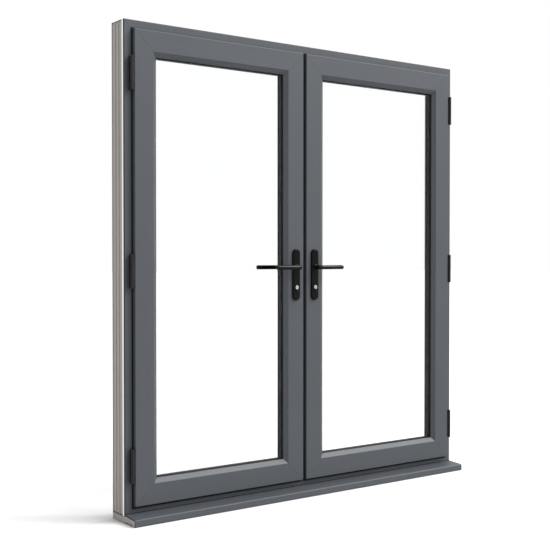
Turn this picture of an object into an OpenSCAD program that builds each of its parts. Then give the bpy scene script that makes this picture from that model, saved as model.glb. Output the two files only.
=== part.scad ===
// A pair of outward-opening french doors in their frame: foiled plastic profiles with
// mitred corners, double glazing, barrel hinges and lever locks that throw shoot bolts.
// X runs along the width, -Y is outdoors, +Z is up. The origin is the middle of the
// cill's underside below the frame's half depth.

/* [Frame] */
// Width over the frame
frame_w = 1910; // [1500:10:2400]
// Height over the frame, without the cill below it
frame_h = 2060; // [1700:10:2500]
// Depth of the frame profile, front to back
frame_d = 110; // [98:1:140]
// Width of the frame profile in front of its upstand
frame_face = 50; // [47:1:70]
// Height of the upstand that the leaves close against
upstand = 20; // [18:1:26]
// Depth from the frame's front face to the upstand
rebate_d = 50; // [50:1:54]
// Depth of the grooves in the frame's outer sides
rib_h = 3; // [1.5:0.5:4]

/* [Cill] */
// Height of the platform that the frame stands on
cill_h = 28; // [24:1:40]
// Height of the lip in front of the frame, above the platform
cill_lip = 8; // [4:1:12]
// How far the nose stands out from the frame's front face
cill_nose = 89; // [70:1:130]
// Height of the nose's front
nose_h = 30; // [24:1:34]

/* [Leaves] */
// Width of frame left showing around the leaves
margin = 38; // [32:1:42]
// How far the leaf face stands in front of the frame face
leaf_proud = 22; // [18:1:26]
// Width of the gap between the two leaves
meeting_gap = 17; // [16:1:24]
// How far the gap lies to the right of the middle
meeting_shift = -26; // [-60:1:60]
// Width of the flat face of a stile or rail
face_w = 88; // [84:1:110]
// Width of the bevel beside the glass
bevel_w = 20; // [14:1:26]
// Depth of that bevel
bevel_d = 14; // [8:1:14]
// Depth of a leaf profile behind the frame's front face
leaf_back = 48; // [46:1:48]

/* [Glazing] */
// Thickness of one pane
pane_t = 4; // [4:1:6]
// Space between the panes
cavity = 20; // [16:1:20]

/* [Hinges] */
// Height of a hinge
hinge_h = 140; // [110:1:180]
// Height of each end knuckle
knuckle_h = 28; // [20:1:36]
// Radius of the barrel
barrel_r = 7.5; // [6:0.1:7.6]
// Radius of the hinge pin
pin_r = 3.5; // [2.5:0.1:4]
// Radial clearance of the pin in a knuckle
pin_fit = 0.05; // [0.02:0.01:0.1]

/* [Handles] */
// Height of the lever above the frame's bottom edge
lever_z = 1030; // [850:5:1150]
// Distance from the lever's axis to the cylinder's axis
lever_to_lock = 92; // [70:1:100]
// Distance from the leaf's edge to the lever's axis
backset = 46; // [46:1:48]
// Height of a backplate
plate_h = 238; // [230:1:260]
// Width of a backplate
plate_w = 40; // [30:1:44]
// Thickness of a backplate
plate_t = 10; // [7:0.5:14]
// Length of a lever, from its axis to its tip
lever_l = 140; // [110:1:160]
// Radius of a lever's round bar
lever_r = 10; // [8:0.5:12]
// Distance from the leaf's face to the middle of the bar
lever_out = 42; // [40:1:60]
// How far the shoot bolts travel
bolt_throw = 20; // [16:1:24]
// Radius of a shoot bolt
bolt_r = 5; // [4:0.5:5.5]

/* [Hidden] */

$fn = 64;
SIDES = ["left", "right", "top", "bottom"];
wall = 3;            // outer walls and webs of the plastic profiles
seat = 0.3;          // gap between a piece and the one it rests against
cut = 1;             // how far a cut runs past the face it opens
foil = "#62666b";
greige = "#bdb8b2";
black = "#17191b";
steel = "#a9adb0";

// --- Overall places ---
front_y = -frame_d / 2;
frame_top = cill_h + frame_h;
leaf_h = frame_h - 2 * margin;
leaf_w_left = frame_w / 2 + meeting_shift - meeting_gap / 2 - margin;
leaf_w_right = frame_w / 2 - meeting_shift - meeting_gap / 2 - margin;
function leaf_w(side) = side == "left" ? leaf_w_left : leaf_w_right;

// --- Frame profile: u runs in from the outer edge, v back from the front face ---
front_chamber_v = 18;
steel_v0 = front_chamber_v + wall;
steel_v1 = 62;
rib_w = 4;
front_land = 20;
rib_pitch = (frame_d - rib_w - front_land) / 3;
fixing_v = 40;       // place of the wall fixings, behind the closed leaf's edge
fixing_r = 4;
fixing_count = 4;
fixing_end = 205;    // height of the lowest wall fixing above the frame's bottom
fixing_pitch = (frame_h - 2 * fixing_end) / (fixing_count - 1);

// --- Leaf profile: s runs in from the leaf's edge, v as above ---
flange_v = -3;       // back of the flange that laps over the frame
edge_gap = 12.6;     // space between the frame's step and the leaf's edge, for its hardware
flange_w = frame_face + edge_gap - margin;
sight = face_w + bevel_w;
rebate_s = face_w + 2;
lip_v = -4;          // back of the lip that holds the outer gasket
lock_s0 = flange_w + wall + 0.4;
lock_s1 = lock_s0 + 30;  // chamber that holds the lock case, from lock_s0
pane_s = sight - 13; // edge of the glass
glass_v = 0;
unit_t = 2 * pane_t + cavity;
web_v = -7;          // back of the chamber behind the face
leaf_steel_v = 28;   // back of the chamber that holds the steel

// --- Hinges ---
pivot_u = margin - 12.5;
pivot_v = 1 - leaf_proud;              // barrels stand half in front of the leaf's face
leaf_screw_v = -12;  // screws in the leaf's edge
hinge_low = 208;     // middle of the lowest hinge above the frame's bottom
hinge_high = 222;    // middle of the highest hinge below the frame's top
hinge_drop = 12;     // how far the middle hinge sits below half height
hinge_z = [hinge_low, frame_h / 2 - hinge_drop, frame_h - hinge_high];
screw_r = 2.1;
screw_hole_r = 2.3;
head_r = 3.4;
hinge_screw_z = [-58, -22, 22, 58];
plate_metal = 2.7;
frame_screw_x = 2.5; // frame screws, from the pivot towards the leaf
frame_screw_z = [-34, -12, 12, 34];
head_t = 1.2;        // height of a hinge screw's head

// --- Lock ---
lock_z = lever_z - margin;            // lever axis above the leaf's bottom edge
cyl_z = lock_z - lever_to_lock;       // cylinder axis above the leaf's bottom edge
plate_drop = 34;                      // middle of a backplate below the lever axis
plate_z = lock_z - plate_drop;
plate_screw = 106;                    // backplate screws above and below its middle
case_z0 = cyl_z - 66;
case_z1 = lock_z + 54;
case_v0 = 10;
case_v1 = 34;
bolt_s = flange_w + 9.4;              // bolts, in from the leaf's edge
bolt_v = 22;
bolt_fit = 0.4;
bolt_proud = 1.6;                     // bolt tip beyond the leaf at rest
bolt_in_case = 34;
case_bore = 38;
strip_end = 112;                      // from the leaf's top and bottom to the lock's face strip
strip_t = 3;
euro_r = 8.5;
euro_stem_w = 10;
euro_stem_h = 24.5;
euro_l = 94;
euro_out = 9;                         // how far the cylinder's middle lies outdoors of the case's
key_gap = 0.3;                        // clearance around the lock's pieces
plug_r = 6;
cam_r = 11;
cam_t = 10;
spindle_w = 8;

// ---------- shared shapes ----------

// One bar of a rectangular ring, w by h, whose lower left corner is the origin
module bar(side, w, h) {
    if (side == "left") linear_extrude(h) children();
    if (side == "right") translate([w, 0, 0]) mirror([1, 0, 0]) linear_extrude(h) children();
    if (side == "top") translate([0, 0, h]) rotate([0, 90, 0]) linear_extrude(w) children();
    if (side == "bottom") mirror([0, 0, 1]) rotate([0, 90, 0]) linear_extrude(w) children();
}

// The part of that ring that one bar fills, up to its 45 degree mitres
module mitre_zone(side, w, h) {
    m = min(w, h) / 2 - cut;
    reach = 200;
    points = side == "left" ? [[0, 0], [m, m], [m, h - m], [0, h]]
        : side == "right" ? [[w, 0], [w, h], [w - m, h - m], [w - m, m]]
        : side == "top" ? [[0, h], [m, h - m], [w - m, h - m], [w, h]]
        : [[0, 0], [w, 0], [w - m, m], [m, m]];
    translate([0, reach, 0]) rotate([90, 0, 0]) linear_extrude(2 * reach) polygon(points);
}

module mitred(side, w, h) {
    intersection() {
        bar(side, w, h) children();
        mitre_zone(side, w, h);
    }
}

// A closed ring of rectangular section, from s0 to s1 inside a w by h outline
module square_ring(w, h, s0, s1, v0, v1) {
    difference() {
        translate([s0, v0, s0]) cube([w - 2 * s0, v1 - v0, h - 2 * s0]);
        translate([s1, v0 - cut, s1]) cube([w - 2 * s1, v1 - v0 + 2 * cut, h - 2 * s1]);
    }
}

// A rectangle given by two corners
module span(a, b) {
    translate(a) square(b - a);
}

// Steel tube along one bar of a ring, cut square at both ends
module tube(side, w, h, a, b, end) {
    t = 2;
    translate(side == "left" || side == "right" ? [0, 0, end] : [end, 0, 0])
    bar(side, side == "top" || side == "bottom" ? w - 2 * end : w,
        side == "left" || side == "right" ? h - 2 * end : h)
    difference() {
        span(a, b);
        span(a + [t, t], b - [t, t]);
    }
}

module along_y(r, y0, y1) {
    translate([0, y0, 0]) rotate([-90, 0, 0]) cylinder(r = r, h = y1 - y0);
}

module along_x(r, x0, x1) {
    translate([x0, 0, 0]) rotate([0, 90, 0]) cylinder(r = r, h = x1 - x0);
}

// Moves a leaf's pieces into place: x from the hinge edge, z from its bottom edge
module in_leaf(side) {
    mirror([side == "right" ? 1 : 0, 0, 0])
    translate([-frame_w / 2 + margin, front_y, cill_h + margin]) children();
}

// Moves a jamb's pieces into place: x from its outer edge, z from its bottom
module in_jamb(side) {
    mirror([side == "right" ? 1 : 0, 0, 0])
    translate([-frame_w / 2, front_y, cill_h]) children();
}

// ---------- frame ----------

module frame_profile() {
    inner = frame_face - wall;
    difference() {
        polygon([
            [0, 0], [frame_face, 0], [frame_face, rebate_d], [frame_face + upstand, rebate_d],
            [frame_face + upstand, frame_d], [0, frame_d]
        ]);
        for (i = [0:2])
            span([-cut, front_land + i * rib_pitch + (i == 0 ? 0 : rib_w)],
                 [rib_h, front_land + (i + 1) * rib_pitch]);
        span([wall, wall], [inner, front_chamber_v]);
        span([rib_h + wall, steel_v0], [inner, steel_v1]);
        span([rib_h + wall, steel_v1 + wall], [inner, frame_d - wall]);
        span([frame_face, rebate_d + wall], [frame_face + upstand - wall, frame_d - wall]);
    }
}

// Holes in both jambs for the fixings into the wall
module fixing_holes() {
    for (side = ["left", "right"], i = [0:fixing_count - 1])
        in_jamb(side) translate([0, fixing_v, fixing_end + i * fixing_pitch])
            along_x(fixing_r, -cut, frame_face + cut);
}

// Holes in the head and the threshold where the bolts of both leaves go in
module bolt_holes() {
    deep = 22;       // beyond the face of the head or the threshold
    over = 5;
    for (side = ["left", "right"])
        in_leaf(side) translate([leaf_w(side) - bolt_s, bolt_v, 0]) {
            translate([0, 0, -(margin - frame_face) - deep])
                cylinder(r = bolt_r + bolt_fit, h = deep + over);
            translate([0, 0, leaf_h + margin - frame_face - over])
                cylinder(r = bolt_r + bolt_fit, h = deep + over);
        }
}

module hinge_screw_holes() {
    for (side = ["left", "right"], z = hinge_z, dz = frame_screw_z)
        in_jamb(side) translate([pivot_u + frame_screw_x, 0, z + dz])
            along_y(screw_hole_r, -cut, 2 * wall);
}

module frame_bar(side) {
    color(foil)
    difference() {
        translate([-frame_w / 2, front_y, cill_h]) mitred(side, frame_w, frame_h) frame_profile();
        fixing_holes();
        bolt_holes();
        hinge_screw_holes();
    }
}

module frame_steels() {
    color(steel)
    difference() {
        translate([-frame_w / 2, front_y, cill_h])
        for (side = SIDES)
            tube(side, frame_w, frame_h, [rib_h + wall + seat, steel_v0 + seat],
                 [frame_face - wall - seat, steel_v1 - seat], frame_face + wall);
        fixing_holes();
        bolt_holes();
    }
}

module frame_seal() {
    color(black)
    translate([-frame_w / 2, front_y, cill_h])
        square_ring(frame_w, frame_h, frame_face + 10, frame_face + upstand - seat,
                    leaf_back + seat, rebate_d);
}

// ---------- cill ----------

module cill_outline() {
    arch = 5;
    polygon([
        [-cill_nose, 3], [-cill_nose + 3, 0], [-cill_nose + 9, 0], [-cill_nose + 29, arch],
        [-10, arch], [20, 0], [frame_d, 0], [frame_d, cill_h], [0, cill_h],
        [0, cill_h + cill_lip], [-cill_nose + 3, nose_h], [-cill_nose, nose_h - 3]
    ]);
}

module cill_chambers() {
    heel = 20;
    pitch = (frame_d - heel - wall) / 2;
    polygon([
        [-cill_nose + 5, 9], [-wall, 9],
        [-wall, cill_h + cill_lip - 5], [-cill_nose + 5, nose_h - wall - 1]
    ]);
    for (i = [0, 1])
        span([heel + i * pitch, wall], [heel + (i + 1) * pitch - wall, cill_h - wall]);
}

module along_cill(length) {
    translate([-length / 2, front_y, 0]) rotate([90, 0, 90]) linear_extrude(length) children();
}

module cill() {
    color(foil)
    along_cill(frame_w) difference() {
        cill_outline();
        cill_chambers();
    }
}

// Plugs that close the cill's cut ends, flush with them
module cill_end_caps() {
    cap = 8;
    color(greige)
    for (m = [0, 1])
        mirror([m, 0, 0]) translate([frame_w / 2 - cap / 2, 0, 0])
            intersection() {
                along_cill(cap) cill_chambers();
                translate([0, front_y, cill_h / 2])
                    cube([cap, 4 * frame_d, 4 * cill_h], center = true);
            }
}

// ---------- leaf profiles ----------

module leaf_profile() {
    mid_s = lock_s1 + wall;
    difference() {
        polygon([
            [0, -leaf_proud], [face_w, -leaf_proud], [sight, bevel_d - leaf_proud],
            [sight, lip_v], [rebate_s, lip_v], [rebate_s, leaf_back],
            [flange_w, leaf_back], [flange_w, flange_v], [0, flange_v]
        ]);
        span([wall, -leaf_proud + wall], [face_w - wall, web_v]);
        span([lock_s0, web_v + wall], [lock_s1, leaf_back - wall]);
        span([mid_s, web_v + wall], [rebate_s - wall, leaf_steel_v]);
        span([mid_s, leaf_steel_v + wall], [rebate_s - wall, leaf_back - wall]);
    }
}

module euro_outline(gap) {
    circle(r = euro_r + gap);
    translate([-euro_stem_w / 2 - gap, -euro_stem_h + euro_stem_w / 2])
        square([euro_stem_w + 2 * gap, euro_stem_h - euro_stem_w / 2]);
    translate([0, -euro_stem_h + euro_stem_w / 2]) circle(r = euro_stem_w / 2 + gap);
}

// A lock outline pushed through the leaf, from v0 to v1
module through_leaf(v0, v1) {
    translate([0, v1, 0]) rotate([90, 0, 0]) linear_extrude(v1 - v0) children();
}

// Everything the locks, bolts and screws need cut out of a leaf's profiles
module hardware_cuts(w) {
    gap = key_gap;
    back = leaf_back + cut;
    front = -leaf_proud - cut;
    x = w - backset;
    translate([x, 0, lock_z]) along_y(spindle_w, front, back);
    translate([x, 0, cyl_z]) through_leaf(front, back) euro_outline(gap);
    for (dz = [-plate_screw, plate_screw])
        translate([x, 0, plate_z + dz]) along_y(screw_hole_r + 0.4, front, back);
    translate([w - lock_s0 - cut, case_v0 - gap, case_z0 - gap])
        cube([wall + 2 * cut, case_v1 - case_v0 + 2 * gap, case_z1 - case_z0 + 2 * gap]);
    for (z = [0, leaf_h - flange_w - 2 * wall - cut])
        translate([w - bolt_s, bolt_v, z])
            cylinder(r = bolt_r + bolt_fit, h = flange_w + 2 * wall + cut);
    for (z = hinge_z, dz = hinge_screw_z)
        translate([0, leaf_screw_v, z - margin + dz]) along_x(screw_hole_r, -cut, 2 * wall);
}

module leaf_bar(leaf, side) {
    w = leaf_w(leaf);
    color(foil)
    in_leaf(leaf) difference() {
        mitred(side, w, leaf_h) leaf_profile();
        hardware_cuts(w);
    }
}

module leaf_steels(leaf) {
    w = leaf_w(leaf);
    color(steel)
    in_leaf(leaf) for (side = SIDES)
        tube(side, w, leaf_h, [lock_s1 + wall + seat, web_v + wall + seat],
             [rebate_s - wall - seat, leaf_steel_v - seat], sight + 2);
}

// ---------- glazing ----------

module pane(leaf, v) {
    color("#dfe9ec", 0.35)
    in_leaf(leaf) translate([pane_s, v, pane_s])
        cube([leaf_w(leaf) - 2 * pane_s, pane_t, leaf_h - 2 * pane_s]);
}

module spacer_bar(leaf) {
    color(black)
    in_leaf(leaf) square_ring(leaf_w(leaf), leaf_h, pane_s + 2, sight + 2,
                              glass_v + pane_t, glass_v + pane_t + cavity);
}

module glazing_gaskets(leaf) {
    w = leaf_w(leaf);
    lip = 4.5;
    color(black)
    in_leaf(leaf) {
        for (side = SIDES)
            mitred(side, w, leaf_h) polygon([
                [pane_s, lip_v], [sight + 0.2, lip_v], [sight + 0.2, lip_v - 3],
                [sight + lip, glass_v - 0.2], [pane_s, glass_v - 0.2]
            ]);
        square_ring(w, leaf_h, pane_s, sight + 2, glass_v + unit_t + 0.2, glass_v + unit_t + 3);
    }
}

module glazing_beads(leaf) {
    w = leaf_w(leaf);
    v0 = glass_v + unit_t + 3;
    color(foil)
    in_leaf(leaf) for (side = SIDES)
        mitred(side, w, leaf_h) polygon([
            [rebate_s + 0.1, v0], [sight, v0], [sight, v0 + 3],
            [rebate_s + 10, leaf_back], [rebate_s + 0.1, leaf_back]
        ]);
}

// The seal behind the flange, whose lip shows as a dark line around the leaf
module weather_seal(leaf) {
    lip = 5;
    foot = 11;       // the lip below the leaf, which sheds water
    meeting_lip = 2;
    inner = 12;
    w = leaf_w(leaf);
    color(black)
    in_leaf(leaf) difference() {
        translate([-lip, flange_v, -foot])
            cube([w + lip + meeting_lip, -flange_v - seat, leaf_h + foot + lip]);
        translate([inner, flange_v - cut, inner])
            cube([w - 2 * inner, -flange_v + 2 * cut, leaf_h - 2 * inner]);
    }
}

// Hollow bar on the left leaf that closes the space behind the gap between the leaves
module meeting_cover() {
    x0 = leaf_w_left - flange_w + strip_t + seat;
    x1 = leaf_w_left + meeting_gap - 4.5;
    length = leaf_h - 2 * flange_w;
    v0 = 2;
    v1 = 36;
    color(foil)
    in_leaf("left") translate([0, 0, flange_w]) linear_extrude(length) difference() {
        span([x0, v0], [x1, v1]);
        span([x0 + 2, v0 + 2], [x1 - 2, v1 - 2]);
    }
}

// ---------- hinges ----------

module at_hinges() {
    for (z = hinge_z) translate([pivot_u, pivot_v, z]) children();
}

module screw_x() {
    along_x(screw_r, -plate_metal, front_chamber_v - 2);
    along_x(head_r, -plate_metal, -plate_metal + head_t);
}

// The half on the frame: a plate with the two end knuckles
module hinge_frame_plates(side) {
    end_z = hinge_h / 2 - knuckle_h / 2;
    plate_v = -pivot_v - plate_metal;
    plate_out = 2;
    plate_wide = 9;
    neck_w = 7;
    color(black)
    in_jamb(side) at_hinges() difference() {
        union() {
            translate([-plate_out, plate_v, -hinge_h / 2]) cube([plate_wide, plate_metal, hinge_h]);
            for (k = [-1, 1]) translate([0, 0, k * end_z]) {
                cylinder(r = barrel_r, h = knuckle_h, center = true);
                translate([-neck_w / 2, 0, -knuckle_h / 2]) cube([neck_w, plate_v + cut, knuckle_h]);
            }
        }
        cylinder(r = pin_r + pin_fit, h = hinge_h + 2 * cut, center = true);
        for (dz = frame_screw_z) translate([frame_screw_x, 0, dz]) {
            along_y(screw_r + 0.1, plate_v, -pivot_v + cut);
            along_y(head_r + 0.1, plate_v - cut, plate_v + head_t);
        }
    }
}

// The half on the leaf: a plate on the leaf's edge with the middle knuckle
module hinge_plates(leaf) {
    gap = 0.4;
    arm = 5;
    mid_h = hinge_h - 2 * knuckle_h - 2 * gap;
    reach = margin - pivot_u;
    color(black)
    in_jamb(leaf) at_hinges() difference() {
        union() {
            translate([reach - plate_metal, -leaf_proud - pivot_v + 1, -hinge_h / 2])
                cube([plate_metal, leaf_proud + flange_v - 2, hinge_h]);
            cylinder(r = barrel_r, h = mid_h, center = true);
            translate([0, 0, -mid_h / 2]) cube([reach - cut, arm, mid_h]);
        }
        cylinder(r = pin_r + pin_fit, h = hinge_h, center = true);
        for (dz = hinge_screw_z) translate([reach, leaf_screw_v - pivot_v, dz]) {
            along_x(screw_r + 0.1, -plate_metal - cut, cut);
            along_x(head_r + 0.1, -plate_metal - cut, -plate_metal + head_t);
        }
    }
}

module hinge_pins() {
    cap = 1.6;
    color(black)
    for (side = ["left", "right"])
        in_jamb(side) at_hinges() {
            cylinder(r = pin_r, h = hinge_h + 2 * cap, center = true);
            for (k = [-1, 1]) translate([0, 0, k * (hinge_h / 2 + cap / 2 + 0.1)])
                cylinder(r = barrel_r - 1, h = cap, center = true);
        }
}

module frame_screws() {
    color(black)
    for (side = ["left", "right"])
        in_jamb(side) at_hinges() for (dz = frame_screw_z)
            translate([frame_screw_x, -pivot_v, dz]) rotate([0, 0, 90]) screw_x();
}

// Plates over the bolt holes in the head and the threshold
module bolt_keeps() {
    length = 60;
    width = 22;
    t = 2.5;
    color(steel)
    difference() {
        for (side = ["left", "right"]) in_leaf(side)
            translate([leaf_w(side) - bolt_s - length / 2, bolt_v - width / 2, 0])
                for (z = [frame_face - margin, leaf_h + margin - frame_face - t])
                    translate([0, 0, z]) cube([length, width, t]);
        bolt_holes();
    }
}

// ---------- locks and handles ----------

module lock_case(leaf) {
    w = leaf_w(leaf);
    gap = key_gap;
    x = w - backset;
    color(steel)
    in_leaf(leaf) difference() {
        union() {
            translate([w - lock_s1 + gap, case_v0, case_z0])
                cube([lock_s1 - flange_w - gap, case_v1 - case_v0, case_z1 - case_z0]);
            translate([w - flange_w, case_v0, strip_end])
                cube([strip_t, case_v1 - case_v0, leaf_h - 2 * strip_end]);
        }
        translate([x, 0, lock_z]) along_y(spindle_w / 2 * sqrt(2) + gap, 0, leaf_back);
        translate([x, 0, cyl_z]) through_leaf(0, leaf_back) euro_outline(gap);
        translate([x, (case_v0 + case_v1) / 2, cyl_z])
            along_y(cam_r + gap, -cam_t / 2 - gap, cam_t / 2 + gap);
        translate([x, 0, plate_z - plate_screw]) along_y(screw_hole_r + 0.4, 0, leaf_back);
        for (z = [case_z0 - cut, case_z1 - case_bore])
            translate([w - bolt_s, bolt_v, z]) cylinder(r = bolt_r + gap, h = case_bore + cut);
    }
}

module shoot_bolt(leaf, z0, z1) {
    color(steel)
    in_leaf(leaf) translate([leaf_w(leaf) - bolt_s, bolt_v, z0])
        cylinder(r = bolt_r, h = z1 - z0);
}

module top_bolt(leaf) {
    shoot_bolt(leaf, case_z1 - bolt_in_case, leaf_h - flange_w + bolt_proud);
}

module bottom_bolt(leaf) {
    shoot_bolt(leaf, flange_w - bolt_proud, case_z0 + bolt_in_case);
}

module at_cylinder(leaf) {
    in_leaf(leaf) translate([leaf_w(leaf) - backset, (case_v0 + case_v1) / 2, cyl_z]) children();
}

module lock_cylinder(leaf) {
    gap = key_gap;
    color("silver")
    at_cylinder(leaf) difference() {
        through_leaf(-euro_l / 2 - euro_out, euro_l / 2 - euro_out) euro_outline(0);
        along_y(plug_r + 0.05, -euro_l, euro_l);
        translate([-cam_r, -cam_t / 2 - gap, -cam_r - gap])
            cube([2 * cam_r, cam_t + 2 * gap, 2 * cam_r + 2 * gap]);
    }
}

module cylinder_plug(leaf) {
    key_w = 2.4;
    key_h = 8;
    key_d = 24;
    color("gold")
    at_cylinder(leaf) difference() {
        union() {
            along_y(plug_r, -euro_l / 2 - euro_out, euro_l / 2 - euro_out);
            along_y(plug_r + 2, -cam_t / 2, cam_t / 2);
            translate([-3, -cam_t / 2, 0]) cube([6, cam_t, cam_r - 0.5]);
        }
        for (y = [-euro_l / 2 - euro_out - cut, euro_l / 2 - euro_out - key_d])
            translate([-key_w / 2, y, -key_h / 2]) cube([key_w, key_d + cut, key_h]);
    }
}

module stadium(w, h) {
    square([w, h - w], center = true);
    for (k = [-1, 1]) translate([0, k * (h - w) / 2]) circle(d = w);
}

// A backplate whose back lies at v = 0 and whose front faces -Y
module backplate_body() {
    gap = key_gap;
    rim = 2;
    difference() {
        union() {
            through_leaf(-plate_t + rim, 0) stadium(plate_w, plate_h);
            through_leaf(-plate_t, 0) stadium(plate_w - 2 * rim, plate_h - 2 * rim);
        }
        translate([0, 0, lock_z - plate_z]) along_y(lever_r + gap, -plate_t - cut, cut);
        translate([0, 0, cyl_z - plate_z]) through_leaf(-plate_t - cut, cut) euro_outline(gap);
    }
}

module outer_backplate(leaf) {
    color(black)
    in_leaf(leaf) translate([leaf_w(leaf) - backset, -leaf_proud, plate_z]) difference() {
        backplate_body();
        for (k = [-1, 1]) translate([0, 0, k * plate_screw]) along_y(screw_hole_r, -6, cut);
    }
}

module inner_backplate(leaf) {
    color(black)
    in_leaf(leaf) translate([leaf_w(leaf) - backset, leaf_back, plate_z]) difference() {
        mirror([0, 1, 0]) backplate_body();
        for (k = [-1, 1]) translate([0, 0, k * plate_screw]) {
            along_y(screw_hole_r, -cut, plate_t + cut);
            along_y(head_r + 0.4, plate_t - 3, plate_t + cut);
        }
    }
}

module leaf_screws(leaf) {
    color(black) {
        in_leaf(leaf) for (k = [-1, 1])
            translate([leaf_w(leaf) - backset, 0, plate_z + k * plate_screw]) {
                along_y(screw_r, -leaf_proud - 5, leaf_back + plate_t - 1);
                along_y(head_r + 0.2, leaf_back + plate_t - 3, leaf_back + plate_t - 1);
            }
        in_jamb(leaf) at_hinges() for (dz = hinge_screw_z)
            translate([margin - pivot_u, leaf_screw_v - pivot_v, dz]) screw_x();
    }
}

// A lever whose neck starts at y = 0 and runs to -Y, with its bar along -X
module lever_body(run) {
    neck_in = 6;
    difference() {
        union() {
            along_y(lever_r, -run, neck_in);
            translate([0, -run, 0]) {
                sphere(r = lever_r);
                along_x(lever_r, -lever_l + lever_r, 0);
                translate([-lever_l + lever_r, 0, 0]) sphere(r = lever_r);
            }
        }
        translate([-spindle_w / 2 - 0.1, -run + lever_r + 4, -spindle_w / 2 - 0.1])
            cube([spindle_w + 0.2, run + neck_in, spindle_w + 0.2]);
    }
}

module outer_lever(leaf) {
    color(black)
    in_leaf(leaf) translate([leaf_w(leaf) - backset, -leaf_proud - plate_t, lock_z])
        lever_body(lever_out - plate_t);
}

module inner_lever(leaf) {
    color(black)
    in_leaf(leaf) translate([leaf_w(leaf) - backset, leaf_back + plate_t, lock_z])
        mirror([0, 1, 0]) lever_body(lever_out - plate_t);
}

module spindle(leaf) {
    inside = lever_r + 5;
    v0 = -leaf_proud - lever_out + inside;
    v1 = leaf_back + lever_out - inside;
    color(steel)
    in_leaf(leaf) translate([leaf_w(leaf) - backset - spindle_w / 2, v0, lock_z - spindle_w / 2])
        cube([spindle_w, v1 - v0, spindle_w]);
}

// ---------- nodes ----------

frame_bar("top");  // frame_head
frame_bar("left");  // frame_left_jamb
frame_bar("right");  // frame_right_jamb
frame_bar("bottom");  // frame_threshold
frame_steels();
frame_seal();
cill();
cill_end_caps();
hinge_frame_plates("left");  // hinge_frame_plates_left
hinge_frame_plates("right");  // hinge_frame_plates_right
hinge_pins();
frame_screws();
bolt_keeps();
meeting_cover();
leaf_bar("left", "left");  // left_hinge_stile
leaf_bar("left", "right");  // left_meeting_stile
leaf_bar("left", "top");  // left_top_rail
leaf_bar("left", "bottom");  // left_bottom_rail
leaf_steels("left");  // left_leaf_steels
pane("left", glass_v);  // left_outer_pane
pane("left", glass_v + pane_t + cavity);  // left_inner_pane
spacer_bar("left");  // left_spacer_bar
glazing_gaskets("left");  // left_glazing_gaskets
glazing_beads("left");  // left_glazing_beads
weather_seal("left");  // left_weather_seal
hinge_plates("left");  // left_hinge_plates
leaf_screws("left");  // left_leaf_screws
outer_backplate("left");  // left_outer_backplate
inner_backplate("left");  // left_inner_backplate
lock_case("left");  // left_lock_case
lock_cylinder("left");  // left_cylinder
cylinder_plug("left");  // left_cylinder_plug
outer_lever("left");  // left_outer_lever
inner_lever("left");  // left_inner_lever
spindle("left");  // left_spindle
top_bolt("left");  // left_top_bolt
bottom_bolt("left");  // left_bottom_bolt
leaf_bar("right", "left");  // right_hinge_stile
leaf_bar("right", "right");  // right_meeting_stile
leaf_bar("right", "top");  // right_top_rail
leaf_bar("right", "bottom");  // right_bottom_rail
leaf_steels("right");  // right_leaf_steels
pane("right", glass_v);  // right_outer_pane
pane("right", glass_v + pane_t + cavity);  // right_inner_pane
spacer_bar("right");  // right_spacer_bar
glazing_gaskets("right");  // right_glazing_gaskets
glazing_beads("right");  // right_glazing_beads
weather_seal("right");  // right_weather_seal
hinge_plates("right");  // right_hinge_plates
leaf_screws("right");  // right_leaf_screws
outer_backplate("right");  // right_outer_backplate
inner_backplate("right");  // right_inner_backplate
lock_case("right");  // right_lock_case
lock_cylinder("right");  // right_cylinder
cylinder_plug("right");  // right_cylinder_plug
outer_lever("right");  // right_outer_lever
inner_lever("right");  // right_inner_lever
spindle("right");  // right_spindle
top_bolt("right");  // right_top_bolt
bottom_bolt("right");  // right_bottom_bolt
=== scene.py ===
import math
import bmesh
import bpy
from mathutils import Matrix, Vector


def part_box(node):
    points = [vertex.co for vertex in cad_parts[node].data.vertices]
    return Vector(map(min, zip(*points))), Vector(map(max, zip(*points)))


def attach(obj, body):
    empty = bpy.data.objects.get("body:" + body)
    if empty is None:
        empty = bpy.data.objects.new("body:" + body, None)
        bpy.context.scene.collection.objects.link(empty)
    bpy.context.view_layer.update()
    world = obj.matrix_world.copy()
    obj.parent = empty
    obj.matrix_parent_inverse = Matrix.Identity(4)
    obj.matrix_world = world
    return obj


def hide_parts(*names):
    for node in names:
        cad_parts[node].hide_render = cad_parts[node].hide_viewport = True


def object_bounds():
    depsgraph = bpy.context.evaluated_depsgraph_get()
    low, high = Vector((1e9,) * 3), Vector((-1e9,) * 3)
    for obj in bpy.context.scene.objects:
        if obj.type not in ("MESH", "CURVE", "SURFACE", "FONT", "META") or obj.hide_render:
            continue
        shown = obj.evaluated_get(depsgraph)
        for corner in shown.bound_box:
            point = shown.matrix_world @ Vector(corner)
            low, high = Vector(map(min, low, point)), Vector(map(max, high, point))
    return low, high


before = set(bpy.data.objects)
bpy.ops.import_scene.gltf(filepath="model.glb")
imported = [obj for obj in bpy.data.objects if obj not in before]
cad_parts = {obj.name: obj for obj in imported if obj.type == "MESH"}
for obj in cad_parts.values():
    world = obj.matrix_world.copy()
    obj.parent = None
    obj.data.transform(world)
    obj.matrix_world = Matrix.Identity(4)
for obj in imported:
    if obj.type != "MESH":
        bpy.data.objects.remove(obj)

cad_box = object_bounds()

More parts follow.
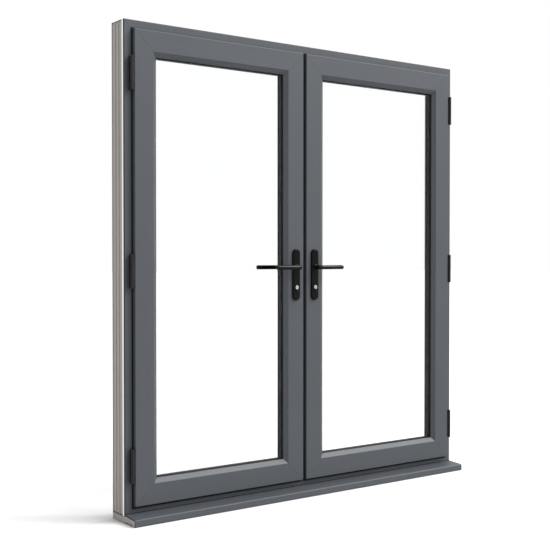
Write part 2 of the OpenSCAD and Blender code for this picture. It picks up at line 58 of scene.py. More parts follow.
# ---------------------------------------------------------------- camera
# Stands outdoors to the left of the doors at about breast height and looks slightly down, far
# enough back to take in the whole set with its cill.
camera_place = (-2.924, -3.788, 1.103)
camera_yaw = 0.6333
camera_tilt = 0.0172
camera_data = bpy.data.cameras.new("camera")
camera_data.lens = 66.15
camera_data.sensor_width = 36.0
camera = bpy.data.objects.new("camera", camera_data)
camera.location = camera_place
camera.rotation_euler = (math.pi / 2 - camera_tilt, 0.0, -camera_yaw)
bpy.context.scene.collection.objects.link(camera)
bpy.context.scene.camera = camera


# ---------------------------------------------------------------- frame profiles
# The outer frame is four lengths of one extruded plastic profile, mitred and welded. A dark
# embossed foil covers what shows; the ribbed sides that face the wall stay bare plastic.
class Value:
    """A node's output, with arithmetic that adds Math or Mix nodes to its tree."""

    def __init__(self, tree, socket):
        self.tree = tree
        self.socket = socket

    def math(self, operation, *values):
        node = self.tree.node("ShaderNodeMath", {"operation": operation}, values)
        return self.tree.out(node)

    def __add__(self, other):
        return self.math("ADD", self, other)

    __radd__ = __add__

    def __sub__(self, other):
        return self.math("SUBTRACT", self, other)

    def __rsub__(self, other):
        return self.math("SUBTRACT", other, self)

    def __mul__(self, other):
        return self.math("MULTIPLY", self, other)

    __rmul__ = __mul__

    def clamped(self):
        return self.math("MAXIMUM", self.math("MINIMUM", self, 1.0), 0.0)


class Finish:
    """A material under construction: one principled shader and the nodes that feed it."""

    def __init__(self, name, **constants):
        self.material = bpy.data.materials.new(name)
        self.material.use_nodes = True
        self.nodes = self.material.node_tree.nodes
        self.links = self.material.node_tree.links
        self.shader = self.nodes["Principled BSDF"]
        for socket, value in constants.items():
            self.shader.inputs[socket.replace("_", " ")].default_value = value

    def node(self, kind, settings=None, inputs=()):
        """Any node: its type, its settings, then its sockets' values or links."""
        node = self.nodes.new(kind)
        for key, value in (settings or {}).items():
            setattr(node, key, value)
        named = inputs.items() if isinstance(inputs, dict) else enumerate(inputs)
        for key, value in named:
            if isinstance(value, Value):
                self.links.new(value.socket, node.inputs[key])
            else:
                node.inputs[key].default_value = value
        return node

    def out(self, node, name=0):
        return Value(self, node.outputs[name])

    def place(self, scale):
        """Coordinates on the object, stretched along each axis, in cells per metre."""
        source = self.out(self.node("ShaderNodeTexCoord"), "Object")
        return self.out(self.node("ShaderNodeMapping", {}, {"Vector": source, "Scale": scale}))

    def noise(self, scale, detail=3.0, roughness=0.55):
        node = self.node("ShaderNodeTexNoise", {}, {
            "Vector": self.place(scale), "Scale": 1.0, "Detail": detail, "Roughness": roughness})
        return self.out(node, "Fac")

    def mix(self, factor, first, second):
        node = self.node("ShaderNodeMix", {"data_type": "RGBA"}, {0: factor, 6: first, 7: second})
        return self.out(node, 2)

    def bump(self, height, strength, depth):
        return self.out(self.node("ShaderNodeBump", {}, {
            "Height": height, "Strength": strength, "Distance": depth}))

    def feed(self, **values):
        for socket, value in values.items():
            self.links.new(value.socket, self.shader.inputs[socket.replace("_", " ")])
        return self.material


def foil_finish(name, along):
    """Anthracite foil with a fine embossed grain that runs along one axis."""
    finish = Finish(name, Specular_IOR_Level=0.28)
    stretch = [900.0, 900.0, 900.0]
    stretch[along] = 14.0
    broad = [60.0, 60.0, 60.0]
    broad[along] = 2.0
    grain = finish.noise(tuple(stretch), 4.0, 0.6)
    figure = finish.noise(tuple(broad), 3.0, 0.5)
    cloud = finish.noise((3.0, 3.0, 3.0), 2.0, 0.5)
    tone = (grain * 0.35 + figure * 0.4 + cloud * 0.35).clamped()
    colour = finish.mix(tone, (0.0335, 0.0378, 0.0438, 1.0), (0.0480, 0.0527, 0.0605, 1.0))
    return finish.feed(
        Base_Color=colour,
        Roughness=grain * 0.16 + cloud * 0.08 + 0.36,
        Normal=finish.bump(grain * 0.7 + figure * 0.3, 0.16, 0.0004),
    )


def bare_plastic_finish(name, low, high):
    """Unfoiled extruded plastic: faint die lines along its length and a dry, dusty tone."""
    finish = Finish(name, Specular_IOR_Level=0.35)
    dust = finish.noise((11.0, 11.0, 2.5), 5.0, 0.62)
    lines = finish.noise((700.0, 700.0, 3.0), 2.0, 0.5)
    colour = finish.mix((dust * 0.7 + lines * 0.3).clamped(), low, high)
    return finish.feed(
        Base_Color=colour,
        Roughness=dust * 0.2 + 0.42,
        Normal=finish.bump(lines, 0.12, 0.0004),
    )


def painted_shade_foil_finish():
    """The foil's cut edge and its return rolled around a profile's corner, near black: painted
    shade, darker than the foil itself.
    """
    finish = Finish("foil_edge", Specular_IOR_Level=0.15)
    scuff = finish.noise((220.0, 220.0, 40.0), 4.0, 0.6)
    return finish.feed(
        Base_Color=finish.mix(scuff, (0.010, 0.0105, 0.011, 1.0), (0.022, 0.023, 0.024, 1.0)),
        Roughness=scuff * 0.2 + 0.5,
        Normal=finish.bump(scuff, 0.1, 0.0003),
    )


# Near-black foil that paints shade on the frame's foil return at the front corner and on the cill's
# cut ends.
painted_shade_foil = painted_shade_foil_finish()
foil_upright = foil_finish("foil_upright", 2)
foil_level = foil_finish("foil_level", 0)
bare_greige = bare_plastic_finish(
    "bare_greige", (0.21, 0.198, 0.188, 1.0), (0.30, 0.282, 0.268, 1.0))
bare_light = bare_plastic_finish(
    "bare_light", (0.70, 0.685, 0.67, 1.0), (0.80, 0.785, 0.77, 1.0))


def rounded(corners, steps=4):
    """An outline from corners (a, b, radius), with each corner turned by an arc."""
    points = []
    count = len(corners)
    for i, (a, b, radius) in enumerate(corners):
        here = Vector((a, b))
        before = (Vector(corners[i - 1][:2]) - here).normalized()
        after = (Vector(corners[(i + 1) % count][:2]) - here).normalized()
        if radius == 0.0:
            points.append(here)
            continue
        half = before.angle(after) / 2
        reach = radius / math.tan(half)
        centre = here + (before + after).normalized() * (radius / math.sin(half))
        start = here + before * reach - centre
        turn = start.angle_signed(here + after * reach - centre)
        for k in range(steps + 1):
            angle = -turn * k / steps
            spin = Vector((start.x * math.cos(angle) - start.y * math.sin(angle),
                           start.x * math.sin(angle) + start.y * math.cos(angle)))
            points.append(centre + spin)
    return points


def show(name, mesh, body, nodes, materials):
    """Makes a mesh a piece of the doors: its finish, its body and the CAD it stands for."""
    piece = bpy.data.objects.new(name, mesh)
    bpy.context.scene.collection.objects.link(piece)
    for material in materials:
        mesh.materials.append(material)
    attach(piece, body)
    if nodes:
        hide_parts(*nodes)
    return piece


def settle(bm, name, sharp=35.0):
    """Turns a bmesh into a mesh, smooth but for edges sharper than an angle in degrees."""
    bmesh.ops.recalc_face_normals(bm, faces=bm.faces)
    for edge in bm.edges:
        edge.smooth = len(edge.link_faces) == 2 and edge.calc_face_angle(0.0) < math.radians(sharp)
    for face in bm.faces:
        face.smooth = True
    mesh = bpy.data.meshes.new(name)
    bm.to_mesh(mesh)
    bm.free()
    return mesh


def flatten_large_faces(piece):
    """Keeps wide flat faces flat beside their rounded edges."""
    weighted = piece.modifiers.new("weighted", "WEIGHTED_NORMAL")
    weighted.keep_sharp = True
    weighted.weight = 90


def mitred_bar(side, low, high, outline, paint, joint=0.0):
    """One bar of a rectangular ring between low and high, cut at 45 degrees at both ends.

    The outline's points are (inward from the ring's outer edge, back from the front)."""
    bm = bmesh.new()
    width, height = high.x - low.x, high.z - low.z
    ends = []
    for far in (0, 1):
        ring = []
        for u, v in outline:
            if side in ("left", "right"):
                along = height - u - joint if far else u + joint
                across = u if side == "left" else width - u
                spot = (low.x + across, low.y + v, low.z + along)
            else:
                along = width - u - joint if far else u + joint
                across = u if side == "bottom" else height - u
                spot = (low.x + along, low.y + v, low.z + across)
            ring.append(bm.verts.new(spot))
        ends.append(ring)
    count = len(outline)
    for i in range(count):
        j = (i + 1) % count
        face = bm.faces.new((ends[0][i], ends[0][j], ends[1][j], ends[1][i]))
        face.material_index = paint(outline[i], outline[j])
    for ring in ends:
        cap = bm.faces.new(ring)
        bmesh.ops.triangulate(bm, faces=[cap])
    return bm


def solid_object(bm):
    """A bmesh as an object, with its faces turned outward, for a cut."""
    bmesh.ops.recalc_face_normals(bm, faces=bm.faces)
    mesh = bpy.data.meshes.new("solid")
    bm.to_mesh(mesh)
    bm.free()
    thing = bpy.data.objects.new("solid", mesh)
    bpy.context.scene.collection.objects.link(thing)
    return thing


def bored(bm, spots, radius, low_z, high_z):
    """A bar with an upright round hole at each (x, y) spot, between two heights."""
    pins = bmesh.new()
    for x, y in spots:
        bmesh.ops.create_cone(
            pins, cap_ends=True, segments=32, radius1=radius, radius2=radius,
            depth=high_z - low_z, matrix=Matrix.Translation((x, y, (low_z + high_z) / 2)))
    bar, pins = solid_object(bm), solid_object(pins)
    cut = bar.modifiers.new("holes", "BOOLEAN")
    cut.operation = "DIFFERENCE"
    cut.solver = "EXACT"
    cut.object = pins
    cut_mesh = bpy.data.meshes.new_from_object(
        bar.evaluated_get(bpy.context.evaluated_depsgraph_get()))
    result = bmesh.new()
    result.from_mesh(cut_mesh)
    for mesh in (cut_mesh, bar.data, pins.data):
        bpy.data.meshes.remove(mesh)
    return result


frame_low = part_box("frame_left_jamb")[0]
frame_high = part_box("frame_right_jamb")[1]
frame_depth = frame_high.y - frame_low.y
upstand_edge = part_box("frame_left_jamb")[1].x - frame_low.x
frame_face = 0.050
rebate_depth = 0.050
rib_depth = 0.003
rib_width = 0.004
front_land = 0.020
rib_step = (frame_depth - rib_width - front_land) / 3
edge_round = 0.0028
foil_return = 0.008
weld_groove = 0.0003
bolt_fit = 0.0004
bore_depth = 0.022

frame_outline = [
    (0.0, 0.0, edge_round), (frame_face, 0.0, 0.0015), (frame_face, rebate_depth, 0.0),
    (upstand_edge, rebate_depth, 0.0015), (upstand_edge, frame_depth, edge_round),
    (0.0, frame_depth, 0.0012),
]
for rib in (2, 1, 0):
    groove_end = front_land + (rib + 1) * rib_step
    groove_start = front_land + rib * rib_step + (rib_width if rib else 0.0)
    for place in (groove_end, groove_start):
        order = (0.0, rib_depth) if place == groove_end else (rib_depth, 0.0)
        for depth in order:
            frame_outline.append((depth, place, 0.0004 if depth == 0.0 else 0.0))
frame_outline.append((0.0, foil_return, 0.0))
frame_outline = rounded(frame_outline)


foil_index, bare_index, light_index, painted_shade_index = range(4)
rib_flank = 0.003


def frame_paint(first, second):
    """Foil indoors and out, light plastic beside the front edge, bare plastic at the ribs, and
    painted shade in near-black foil on the return round the front corner.
    """
    u = max(first[0], second[0])
    v = (first[1] + second[1]) / 2
    # The foil's return on the side next to the front corner is painted near black as shade.
    if v < foil_return and u < edge_round * 0.7:
        return painted_shade_index
    if u > rib_depth + 0.001 or v < foil_return:
        return foil_index
    wide = abs(first[1] - second[1]) > rib_flank
    return light_index if v < front_land and wide else bare_index


bar_nodes = {
    "left": "frame_left_jamb", "right": "frame_right_jamb",
    "top": "frame_head", "bottom": "frame_threshold",
}
for side, node in bar_nodes.items():
    bm = mitred_bar(side, frame_low, frame_high, frame_outline, frame_paint, weld_groove)
    if side in ("top", "bottom"):
        bolts = [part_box(leaf + "_" + side + "_bolt") for leaf in ("left", "right")]
        spots = [((b[0].x + b[1].x) / 2, (b[0].y + b[1].y) / 2) for b in bolts]
        radius = (bolts[0][1].x - bolts[0][0].x) / 2 + bolt_fit
        face = frame_high.z - frame_face if side == "top" else frame_low.z + frame_face
        bm = bored(bm, spots, radius, face - bore_depth, face + bore_depth)
    foil = foil_upright if side in ("left", "right") else foil_level
    piece = show(node + "_profile", settle(bm, node), "frame", [node],
                 [foil, bare_greige, bare_light, painted_shade_foil])
    flatten_large_faces(piece)

# ---------------------------------------------------------------- cill
# A hollow extrusion under the frame whose nose throws rain clear of the wall. It is foiled on
# its top and nose, and cut square at the jambs; its bare underside rests on the masonry.
cill_low, cill_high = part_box("cill")
nose_reach = frame_low.y - cill_low.y
platform = frame_low.z - cill_low.z
lip_height = cill_high.z - cill_low.z
nose_height = 0.030
arch = 0.005
cill_outline = rounded([
    (-nose_reach, 0.003, 0.0012), (-nose_reach + 0.003, 0.0, 0.0006),
    (-nose_reach + 0.009, 0.0, 0.0006), (-nose_reach + 0.029, arch, 0.01), (-0.010, arch, 0.01),
    (0.020, 0.0, 0.004), (frame_depth, 0.0, 0.001), (frame_depth, platform, 0.001),
    (0.0, platform, 0.0), (0.0, lip_height, 0.0012),
    (-nose_reach + 0.001, nose_height, 0.0045),
])


def extruded_along_x(outline, low_x, high_x, y, z, paint, end_index=0):
    """A closed bar of constant section along X, from (back, up) points."""
    bm = bmesh.new()
    ends = [[bm.verts.new((x, y + a, z + b)) for a, b in outline] for x in (low_x, high_x)]
    count = len(outline)
    for i in range(count):
        j = (i + 1) % count
        face = bm.faces.new((ends[0][i], ends[0][j], ends[1][j], ends[1][i]))
        face.material_index = paint(outline[i], outline[j])
    for ring in ends:
        cap = bm.faces.new(ring)
        cap.material_index = end_index
        bmesh.ops.triangulate(bm, faces=[cap])
    return bm


def one_finish(first, second):
    """A bar in a single finish all round."""
    return 0


def add_part(bm, part):
    """Adds one bmesh to another."""
    mesh = bpy.data.meshes.new("part")
    part.to_mesh(mesh)
    part.free()
    bm.from_mesh(mesh)
    bpy.data.meshes.remove(mesh)


def cill_paint(first, second):
    """Bare on the underside and at the back, foil elsewhere."""
    under = max(first[1], second[1]) < 0.0055 and first[0] > -nose_reach + 0.002
    behind = min(first[0], second[0]) > -0.001
    return 1 if under or behind else 0


plug_proud = 0.0006
# The cill's cut ends get the near-black foil: the foil's real edge, painted darker than the foil as
# shade.
bm = extruded_along_x(cill_outline, cill_low.x + plug_proud, cill_high.x - plug_proud,
                      frame_low.y, cill_low.z, cill_paint, 2)
cill = show("cill_profile", settle(bm, "cill"), "frame", ["cill"],
            [foil_level, bare_greige, painted_shade_foil])
flatten_large_faces(cill)

# The plugs that close the cill's cut ends: bare plastic, let in behind the foil's edge.
foil_edge = 0.0055
plug_depth = 0.0018
end_outline = rounded([
    (-nose_reach + foil_edge, 0.0025, 0.001), (-nose_reach + 0.010, 0.001, 0.0008),
    (-nose_reach + 0.029, arch + 0.001, 0.01), (-0.010, arch + 0.001, 0.01),
    (0.020, 0.001, 0.004), (frame_depth - 0.001, 0.001, 0.001),
    (frame_depth - 0.001, platform - 0.001, 0.001), (-0.001, platform - 0.001, 0.0),
    (-0.001, lip_height - foil_edge - 0.0005, 0.001),
    (-nose_reach + foil_edge, nose_height - foil_edge, 0.003),
])
bm = bmesh.new()
for low_x, high_x in ((cill_low.x, cill_low.x + plug_depth),
                      (cill_high.x - plug_depth, cill_high.x)):
    add_part(bm, extruded_along_x(end_outline, low_x, high_x, frame_low.y, cill_low.z, one_finish))
show("cill_end_plugs", settle(bm, "cill_end_plugs"), "frame", ["cill_end_caps"],
     [bare_greige])

# ---------------------------------------------------------------- leaves
# Each leaf is four lengths of one deeper profile, mitred and welded, with a face that stands
# proud of the frame and a bevel that runs down to the glass.
leaf_box = {}
face_width = 0.088
bevel_depth = 0.014
lip_back = 0.018
rebate_edge = 0.090
flange_width = 0.0246
flange_back = 0.019
for leaf in ("left", "right"):
    nodes = [leaf + "_" + n for n in ("hinge_stile", "meeting_stile", "top_rail", "bottom_rail")]
    boxes = [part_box(node) for node in nodes]
    low = Vector([min(b[0][k] for b in boxes) for k in range(3)])
    high = Vector([max(b[1][k] for b in boxes) for k in range(3)])
    leaf_box[leaf] = (low, high)
    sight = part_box(leaf + "_top_rail")
    sight_width = sight[1].z - sight[0].z
    depth = high.y - low.y
    outline = rounded([
        (0.0, 0.0, 0.0032), (face_width, 0.0, 0.0032), (sight_width, bevel_depth, 0.002),
        (sight_width, lip_back, 0.0), (rebate_edge, lip_back, 0.0),
        (rebate_edge, depth, 0.0), (flange_width, depth, 0.0025),
        (flange_width, flange_back, 0.0), (0.0, flange_back, 0.001),
    ], steps=5)
    hinge_side, meeting_side = ("left", "right") if leaf == "left" else ("right", "left")
    for side, node in ((hinge_side, nodes[0]), (meeting_side, nodes[1]),
                       ("top", nodes[2]), ("bottom", nodes[3])):
        bm = mitred_bar(side, low, high, outline, one_finish, weld_groove)
        foil = foil_upright if side in ("left", "right") else foil_level
        piece = show(node + "_profile", settle(bm, node), leaf + "_leaf", [node],
                     [foil])
        flatten_large_faces(piece)

# ---------------------------------------------------------------- beads and meeting cover
# Beads clip in from indoors and hold each glass; a slim hollow bar on the left leaf closes the
# space behind the gap between the leaves. Both wear the leaves' foil.
bead_back = 0.017
bead_reach = 0.0179
for leaf in ("left", "right"):
    low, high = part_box(leaf + "_glazing_beads")
    outline = rounded([
        (0.0, 0.0, 0.0), (bead_reach, 0.0, 0.0008), (bead_reach, 0.003, 0.0012),
        (0.0099, bead_back, 0.003), (0.0, bead_back, 0.0),
    ])
    joined = bmesh.new()
    for side in ("left", "right", "top", "bottom"):
        part = mitred_bar(side, low, high, outline, one_finish, weld_groove / 2)
        for face in part.faces:
            face.material_index = 0 if side in ("left", "right") else 1
        add_part(joined, part)
    piece = show(leaf + "_bead_set", settle(joined, leaf + "_beads"), leaf + "_leaf",
                 [leaf + "_glazing_beads"], [foil_upright, foil_level])
    flatten_large_faces(piece)


def softened(node, name, body, materials, edge, steps=2):
    """A copy of a CAD node whose edges are broken by a small rounding."""
    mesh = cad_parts[node].data.copy()
    mesh.materials.clear()
    bm = bmesh.new()
    bm.from_mesh(mesh)
    bmesh.ops.remove_doubles(bm, verts=bm.verts, dist=1e-6)
    bmesh.ops.dissolve_limit(bm, angle_limit=0.001, verts=bm.verts, edges=bm.edges)
    bpy.data.meshes.remove(mesh)
    piece = show(name, settle(bm, name, 30.0), body, [node], materials)
    bevel = piece.modifiers.new("edges", "BEVEL")
    bevel.width = edge
    bevel.segments = steps
    bevel.limit_method = "ANGLE"
    bevel.angle_limit = math.radians(40.0)
    bevel.use_clamp_overlap = True
    bevel.harden_normals = True
    return piece


softened("meeting_cover", "meeting_cover_bar", "left_leaf",
         [foil_upright], 0.0012)

# ---------------------------------------------------------------- seals
# Black weather seals: a wedge gasket round each glass, a lip behind each leaf's flange that
# shows as a dark line, and a strip on the frame's upstand.
rubber = Finish("seal_rubber", Specular_IOR_Level=0.1)
rubber_dust = rubber.noise((40.0, 40.0, 40.0), 5.0, 0.65)
seal_rubber = rubber.feed(
    Base_Color=rubber.mix(rubber_dust, (0.004, 0.0043, 0.0046, 1.0), (0.009, 0.009, 0.0095, 1.0)),
    Roughness=rubber_dust * 0.25 + 0.48,
    Normal=rubber.bump(rubber.noise((900.0, 900.0, 900.0), 2.0), 0.12, 0.0003),
)


def dress(node, material):
    """Gives a CAD node whose shape is right its finish."""
    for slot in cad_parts[node].material_slots:
        slot.material = material


# A bead of black sealant along the foot of the frame, in the corner it makes with the cill.
bead = 0.0024
bead_bm = extruded_along_x(
    rounded([(-bead, lip_height - 0.0012, 0.0), (-bead * 0.7, lip_height + bead * 0.7, 0.0012),
             (0.0, lip_height + bead, 0.0), (0.0, lip_height - 0.0012, 0.0)]),
    frame_low.x + 0.001, frame_high.x - 0.001, frame_low.y, cill_low.z, one_finish)
show("sealant_bead", settle(bead_bm, "sealant_bead"), "frame", [], [seal_rubber])

for node in ("frame_seal", "left_weather_seal", "right_weather_seal",
             "left_glazing_gaskets", "right_glazing_gaskets"):
    dress(node, seal_rubber)

# ---------------------------------------------------------------- glazing
# Two clear float panes a leaf, held apart by a dark spacer bar that butyl sealant bonds to both.
# The sealed unit stands in the leaf's rebate between the gaskets.
spacer = Finish("spacer_bar", Specular_IOR_Level=0.12)
spacer_fleck = spacer.noise((500.0, 500.0, 500.0), 3.0)
spacer_finish = spacer.feed(
    Base_Color=spacer.mix(spacer_fleck, (0.011, 0.011, 0.0098, 1.0), (0.020, 0.0196, 0.0175, 1.0)),
    Roughness=spacer_fleck * 0.2 + 0.45,
)
glass = Finish("clear_glass", Metallic=1.0, Roughness=0.015)
glass.shader.inputs["Base Color"].default_value = (0.95, 0.97, 0.96, 1.0)
clear = glass.out(glass.node("ShaderNodeBsdfTransparent", {}, {
    "Color": (0.998, 1.0, 0.999, 1.0)}))
gloss = glass.out(glass.node("ShaderNodeFresnel", {}, {"IOR": 1.3}))
smear = glass.noise((2.2, 2.2, 1.4), 4.0, 0.6)
veil = (gloss * 0.1 + smear * 0.003).clamped()
surface = glass.out(glass.node("ShaderNodeMixShader", {}, {
    "Fac": veil, 1: clear, 2: glass.out(glass.shader)}))
glass.links.new(surface.socket, glass.nodes["Material Output"].inputs["Surface"])
for leaf in ("left", "right"):
    dress(leaf + "_spacer_bar", spacer_finish)
    dress(leaf + "_outer_pane", glass.material)
    dress(leaf + "_inner_pane", glass.material)

# ---------------------------------------------------------------- steel inside
# Galvanised tubes stiffen the profiles; keeps, lock cases, bolts and spindles are zinc-plated
# steel with a crystalline bloom.
zinc = Finish("zinc_steel", Metallic=1.0)
spangle = zinc.out(zinc.node("ShaderNodeTexVoronoi", {}, {
    "Vector": zinc.place((160.0, 160.0, 160.0)), "Scale": 1.0}), "Distance")
zinc_cloud = zinc.noise((30.0, 30.0, 30.0), 4.0)
zinc_finish = zinc.feed(
    Base_Color=zinc.mix((spangle * 0.5 + zinc_cloud * 0.5).clamped(),
                        (0.40, 0.42, 0.43, 1.0), (0.64, 0.66, 0.67, 1.0)),
    Roughness=zinc_cloud * 0.25 + 0.26,
    Normal=zinc.bump(spangle, 0.08, 0.0003),
)
for node in ("frame_steels", "left_leaf_steels", "right_leaf_steels"):
    dress(node, zinc_finish)
for node, body, edge in (
        ("bolt_keeps", "frame", 0.0006),
        ("left_lock_case", "left_leaf", 0.0006), ("right_lock_case", "right_leaf", 0.0006),
        ("left_spindle", "left_handle", 0.0005), ("right_spindle", "right_handle", 0.0005),
        ("left_top_bolt", "left_upper_bolt", 0.0015),
        ("left_bottom_bolt", "left_lower_bolt", 0.0015),
        ("right_top_bolt", "right_upper_bolt", 0.0015),
        ("right_bottom_bolt", "right_lower_bolt", 0.0015)):
    softened(node, node + "_metal", body, [zinc_finish], edge)

# ---------------------------------------------------------------- hinges
# Three barrel hinges a side in black powder coat: a plate with two end knuckles on the frame,
# a plate with the long middle knuckle on the leaf's edge, and a capped pin.
def black_coat_finish(name, specular, low, high, gloss):
    """Black powder coat: a fine orange peel over a faintly uneven black."""
    finish = Finish(name, Specular_IOR_Level=specular)
    peel = finish.noise((420.0, 420.0, 420.0), 2.0, 0.5)
    cloud = finish.noise((18.0, 18.0, 18.0), 3.0)
    return finish.feed(
        Base_Color=finish.mix(cloud, low, high),
        Roughness=cloud * 0.08 + peel * 0.05 + gloss,
        Normal=finish.bump(peel, 0.1, 0.0003),
    )


hinge_black = black_coat_finish("hinge_black", 0.17, (0.007, 0.0071, 0.0074, 1.0),
                                (0.013, 0.0131, 0.0136, 1.0), 0.32)
for node, body, edge in (
        ("hinge_frame_plates_left", "frame", 0.0009), ("hinge_frame_plates_right", "frame", 0.0009),
        ("left_hinge_plates", "left_leaf", 0.0009), ("right_hinge_plates", "right_leaf", 0.0009),
        ("hinge_pins", "frame", 0.0006), ("frame_screws", "frame", 0.0003),
        ("left_leaf_screws", "left_leaf", 0.0003), ("right_leaf_screws", "right_leaf", 0.0003)):
    softened(node, node + "_coated", body, [hinge_black], edge, 3)

# ---------------------------------------------------------------- backplates
# Long plates with round ends on both faces of each meeting stile, pressed from zinc alloy: a
# flat rim, a rolled shoulder and a slightly crowned front. Outdoors a small raised shield hides
# the cylinder's stem, so that only its round front shows.
handle_black = black_coat_finish("handle_black", 0.1, (0.0012, 0.0012, 0.0013, 1.0),
                                 (0.0026, 0.0026, 0.0028, 1.0), 0.08)
shield_width = 0.013
shield_height = 0.0185
shield_below = 0.0165
shield_proud = 0.0005
shield_round = 0.0008
# Inset from the rim in metres, and rise as a part of the thickness
plate_rings = ((0.0, 0.0), (0.0, 0.62), (0.0005, 0.78), (0.0016, 0.90),
               (0.0035, 0.965), (0.0075, 0.99), (0.012, 1.0))


def stadium(width, height, inset, steps=28):
    """Points round a shape with parallel sides and half-round ends, about its middle."""
    r = width / 2 - inset
    reach = (height - width) / 2
    ring = []
    for end in (1, -1):
        for k in range(steps + 1):
            angle = math.pi * k / steps + (0.0 if end == 1 else math.pi)
            ring.append((r * math.cos(angle), end * reach + r * math.sin(angle)))
    return ring


def skinned(bm, rings):
    """Closes a row of rings of points into a solid."""
    for lower, upper in zip(rings, rings[1:]):
        for i in range(len(lower)):
            j = (i + 1) % len(lower)
            bm.faces.new((lower[i], lower[j], upper[j], upper[i]))
    bm.faces.new(rings[0])
    bm.faces.new(rings[-1])


for leaf in ("left", "right"):
    for face, out in (("outer", -1.0), ("inner", 1.0)):
        node = leaf + "_" + face + "_backplate"
        low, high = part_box(node)
        middle = (low + high) / 2
        thickness = high.y - low.y
        back_y = high.y if out < 0 else low.y
        width, height = high.x - low.x, high.z - low.z
        bm = bmesh.new()
        rings = []
        for inset, rise in plate_rings:
            y = back_y + out * rise * thickness
            rings.append([bm.verts.new((middle.x + a, y, middle.z + b))
                          for a, b in stadium(width, height, inset)])
        skinned(bm, rings)
        if face == "outer":
            lock_low, lock_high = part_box(leaf + "_cylinder")
            axis_z = lock_high.z - (lock_high.x - lock_low.x) / 2 - shield_below
            front_y = lock_low.y - shield_proud
            shield = []
            for inset, y in ((0.0, low.y + 0.001), (0.0, front_y + shield_round),
                             (shield_round, front_y)):
                shield.append([bm.verts.new((middle.x + a, y, axis_z + b))
                               for a, b in stadium(shield_width, shield_height, inset, 12)])
            skinned(bm, shield)
        bmesh.ops.triangulate(bm, faces=[f for f in bm.faces if len(f.verts) > 4])
        show(node + "_shell", settle(bm, node, 60.0), leaf + "_leaf", [node],
             [handle_black])

# ---------------------------------------------------------------- levers
# A round-bar lever each side on one square spindle: a neck with a collar, a swept elbow and a
# straight grip whose end is softly rounded.
lever_radius = 0.010
collar_radius = 0.0135
collar_length = 0.006
elbow = 0.0105
grip_end = 0.0045
neck_sunk = 0.004
elbow_steps = 12
tip_steps = 6
upward = Vector((0.0, 0.0, 1.0))


def swept(bm, path, radii, up, steps=32):
    """A round bar along a path, closed at both ends."""
    rings = []
    for i, spot in enumerate(path):
        ahead = path[min(i + 1, len(path) - 1)] - path[max(i - 1, 0)]
        side = ahead.normalized().cross(up).normalized()
        rings.append([bm.verts.new(spot + radii[i] * (
            side * math.cos(2 * math.pi * k / steps) + up * math.sin(2 * math.pi * k / steps)))
            for k in range(steps)])
    skinned(bm, rings)


for leaf, along in (("left", -1.0), ("right", 1.0)):
    for face, out in (("outer", -1.0), ("inner", 1.0)):
        node = leaf + "_" + face + "_lever"
        low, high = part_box(node)
        plate_low, plate_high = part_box(leaf + "_" + face + "_backplate")
        axis_x = (plate_low.x + plate_high.x) / 2
        axis_z = (low.z + high.z) / 2
        plate_y = plate_low.y if out < 0 else plate_high.y
        bar_y = (low.y if out < 0 else high.y) - out * lever_radius
        tip_x = low.x if along < 0 else high.x
        turn = Vector((axis_x + along * elbow, bar_y - out * elbow, axis_z))
        path = [Vector((axis_x, plate_y - out * neck_sunk, axis_z)),
                Vector((axis_x, turn.y - out * 0.001, axis_z))]
        radii = [lever_radius, lever_radius]
        for k in range(elbow_steps + 1):
            angle = math.pi / 2 * k / elbow_steps
            path.append(turn + Vector((-along * elbow * math.cos(angle),
                                       out * elbow * math.sin(angle), 0.0)))
            radii.append(lever_radius)
        grip_stop = tip_x - along * grip_end
        path.append(Vector((grip_stop, bar_y, axis_z)))
        radii.append(lever_radius)
        for k in range(1, tip_steps + 1):
            angle = math.pi / 2 * k / tip_steps
            path.append(Vector((grip_stop + along * grip_end * math.sin(angle), bar_y, axis_z)))
            radii.append(lever_radius - grip_end * (1.0 - math.cos(angle)))
        bm = bmesh.new()
        swept(bm, path, radii, upward)
        collar_path = []
        collar_radii = []
        for step, radius in ((0.0, collar_radius), (0.6, collar_radius),
                             (0.85, collar_radius - 0.0006), (1.0, collar_radius - 0.002)):
            collar_path.append(Vector((axis_x, plate_y + out * collar_length * step, axis_z)))
            collar_radii.append(radius)
        swept(bm, collar_path, collar_radii, upward)
        bmesh.ops.triangulate(bm, faces=[f for f in bm.faces if len(f.verts) > 4])
        show(node + "_bar", settle(bm, node, 50.0), leaf + "_handle", [node],
             [handle_black])

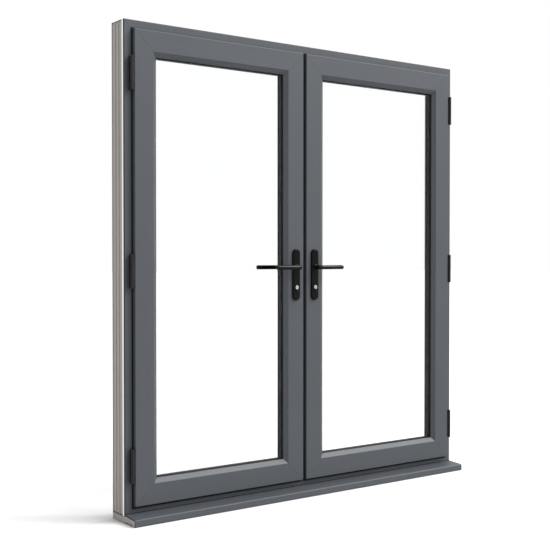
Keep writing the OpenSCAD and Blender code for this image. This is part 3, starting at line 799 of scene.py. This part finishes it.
# ---------------------------------------------------------------- key cylinders
# A profile cylinder in satin nickel passes through each leaf and its lock case. Its slotted plug
# turns with the key and carries the cam.
nickel = Finish("satin_nickel", Metallic=1.0)
brushing = nickel.noise((120.0, 120.0, 2600.0), 3.0)
nickel_finish = nickel.feed(
    Base_Color=nickel.mix(brushing, (0.42, 0.415, 0.40, 1.0), (0.56, 0.55, 0.53, 1.0)),
    Roughness=brushing * 0.15 + 0.2,
    Normal=nickel.bump(brushing, 0.06, 0.0002),
)
for leaf in ("left", "right"):
    softened(leaf + "_cylinder", leaf + "_cylinder_body", leaf + "_leaf",
             [nickel_finish], 0.0005)
    softened(leaf + "_cylinder_plug", leaf + "_key_plug_face", leaf + "_key_plug",
             [nickel_finish], 0.0003)

# ---------------------------------------------------------------- studio
# A plain pale floor and a soft bright surround, with a broad lamp and a narrower key lamp high
# on the right.
floor_size = 60.0
floor_mesh = bpy.data.meshes.new("floor")
floor_bm = bmesh.new()
bmesh.ops.create_grid(floor_bm, x_segments=2, y_segments=2, size=floor_size)
floor_bm.to_mesh(floor_mesh)
floor_bm.free()
floor = bpy.data.objects.new("floor", floor_mesh)
floor.location.z = cad_box[0].z - 0.001
floor_finish = Finish("floor", Specular_IOR_Level=0.0, Roughness=0.9)
floor_cloud = floor_finish.noise((0.6, 0.6, 0.6), 2.0)
floor_mesh.materials.append(floor_finish.feed(
    Base_Color=floor_finish.mix(
        floor_cloud, (0.53, 0.53, 0.53, 1.0), (0.555, 0.555, 0.555, 1.0))))
bpy.context.scene.collection.objects.link(floor)

for name, energy, spread, toward in (
        ("lamp", 5.0, 65.0, (0.563, -0.379, 0.734)), ("key", 1.4, 14.0, (0.60, -0.47, 0.65))):
    lamp_data = bpy.data.lights.new(name, "SUN")
    lamp_data.energy = energy
    lamp_data.angle = math.radians(spread)
    lamp = bpy.data.objects.new(name, lamp_data)
    lamp.rotation_euler = Vector(toward).to_track_quat("Z", "Y").to_euler()
    bpy.context.scene.collection.objects.link(lamp)

world = bpy.data.worlds.new("surround")
world.use_nodes = True
bpy.context.scene.world = world
backdrop = world.node_tree.nodes["Background"]
backdrop.inputs["Color"].default_value = (1.0, 1.0, 1.0, 1.0)
backdrop.inputs["Strength"].default_value = 1.0
bpy.context.scene.view_settings.view_transform = "Standard"
